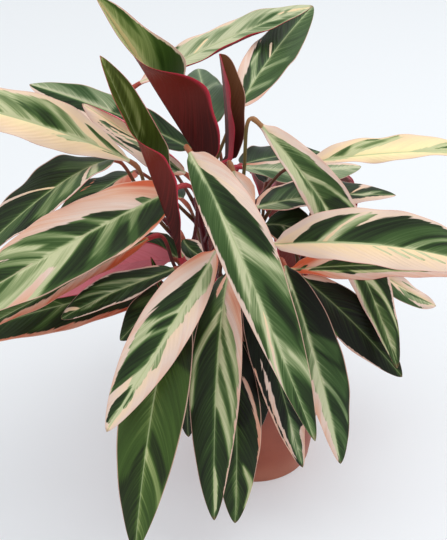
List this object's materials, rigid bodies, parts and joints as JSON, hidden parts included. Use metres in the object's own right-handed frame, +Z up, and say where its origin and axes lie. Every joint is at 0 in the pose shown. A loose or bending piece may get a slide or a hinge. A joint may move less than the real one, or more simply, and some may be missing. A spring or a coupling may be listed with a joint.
{
  "type": "potted foliage plant",
  "caption": "Bushy foliage plant with long waved leaves, splashed green, cream and pink over wine-red undersides, in a plain terracotta-coloured nursery pot.",
  "frame": {"origin": "centre of the pot's flat base, on the surface it stands on", "axes": "+Z up; -Y towards the picture's camera, +X to its right"},
  "size_m": [0.4252, 0.3708, 0.4153],
  "materials": {
    "pot": "matt, terracotta-coloured",
    "soil": "rough potting mix",
    "cane": "smooth green to wine-red stem",
    "leaf_mixed": "satin leaf, splashed cream and pink",
    "leaf_green": "satin leaf, nearly plain green",
    "leaf_young": "satin young leaf, wine-red outside"
  },
  "bodies": {
    "root": {"front_1": "leaf_mixed", "front_2": "leaf_mixed", "front_3": "leaf_green", "front_4": "leaf_mixed", "front_5": "leaf_mixed", "front_6": "leaf_mixed", "front_7": "leaf_mixed", "front_8": "leaf_mixed", "front_9": "leaf_mixed", "inner_1": "leaf_mixed", "inner_2": "leaf_mixed", "inner_3": "leaf_mixed", "inner_4": "leaf_mixed", "inner_5": "leaf_mixed", "left_1": "leaf_mixed", "left_2": "leaf_mixed", "left_3": "leaf_mixed", "left_4": "leaf_mixed", "left_5": "leaf_mixed", "left_6": "leaf_mixed", "left_7": "leaf_mixed", "left_8": "leaf_mixed", "left_9": "leaf_mixed", "pot": "pot", "rear_1": "leaf_mixed", "rear_2": "leaf_mixed", "rear_3": "leaf_mixed", "rear_4": "leaf_mixed", "rear_5": "leaf_mixed", "rear_6": "leaf_mixed", "rear_7": "leaf_mixed", "rear_8": "leaf_mixed", "rear_9": "leaf_mixed", "right_1": "leaf_mixed", "right_2": "leaf_mixed", "right_3": "leaf_mixed", "right_4": "leaf_mixed", "right_5": "leaf_mixed", "right_6": "leaf_mixed", "right_7": "leaf_mixed", "right_8": "leaf_mixed", "right_9": "leaf_mixed", "shoot_1": "cane", "shoot_2": "cane", "shoot_3": "cane", "shoot_4": "cane", "shoot_5": "cane", "shoot_6": "cane", "shoot_7": "cane", "shoot_8": "cane", "shoot_9": "cane", "soil": "soil", "upright_1": "leaf_young", "upright_2": "leaf_young", "upright_3": "leaf_young", "upright_4": "leaf_mixed", "upright_5": "leaf_mixed", "upright_6": "leaf_mixed", "upright_7": "leaf_mixed", "upright_8": "leaf_young"}
  },
  "joints": []
}
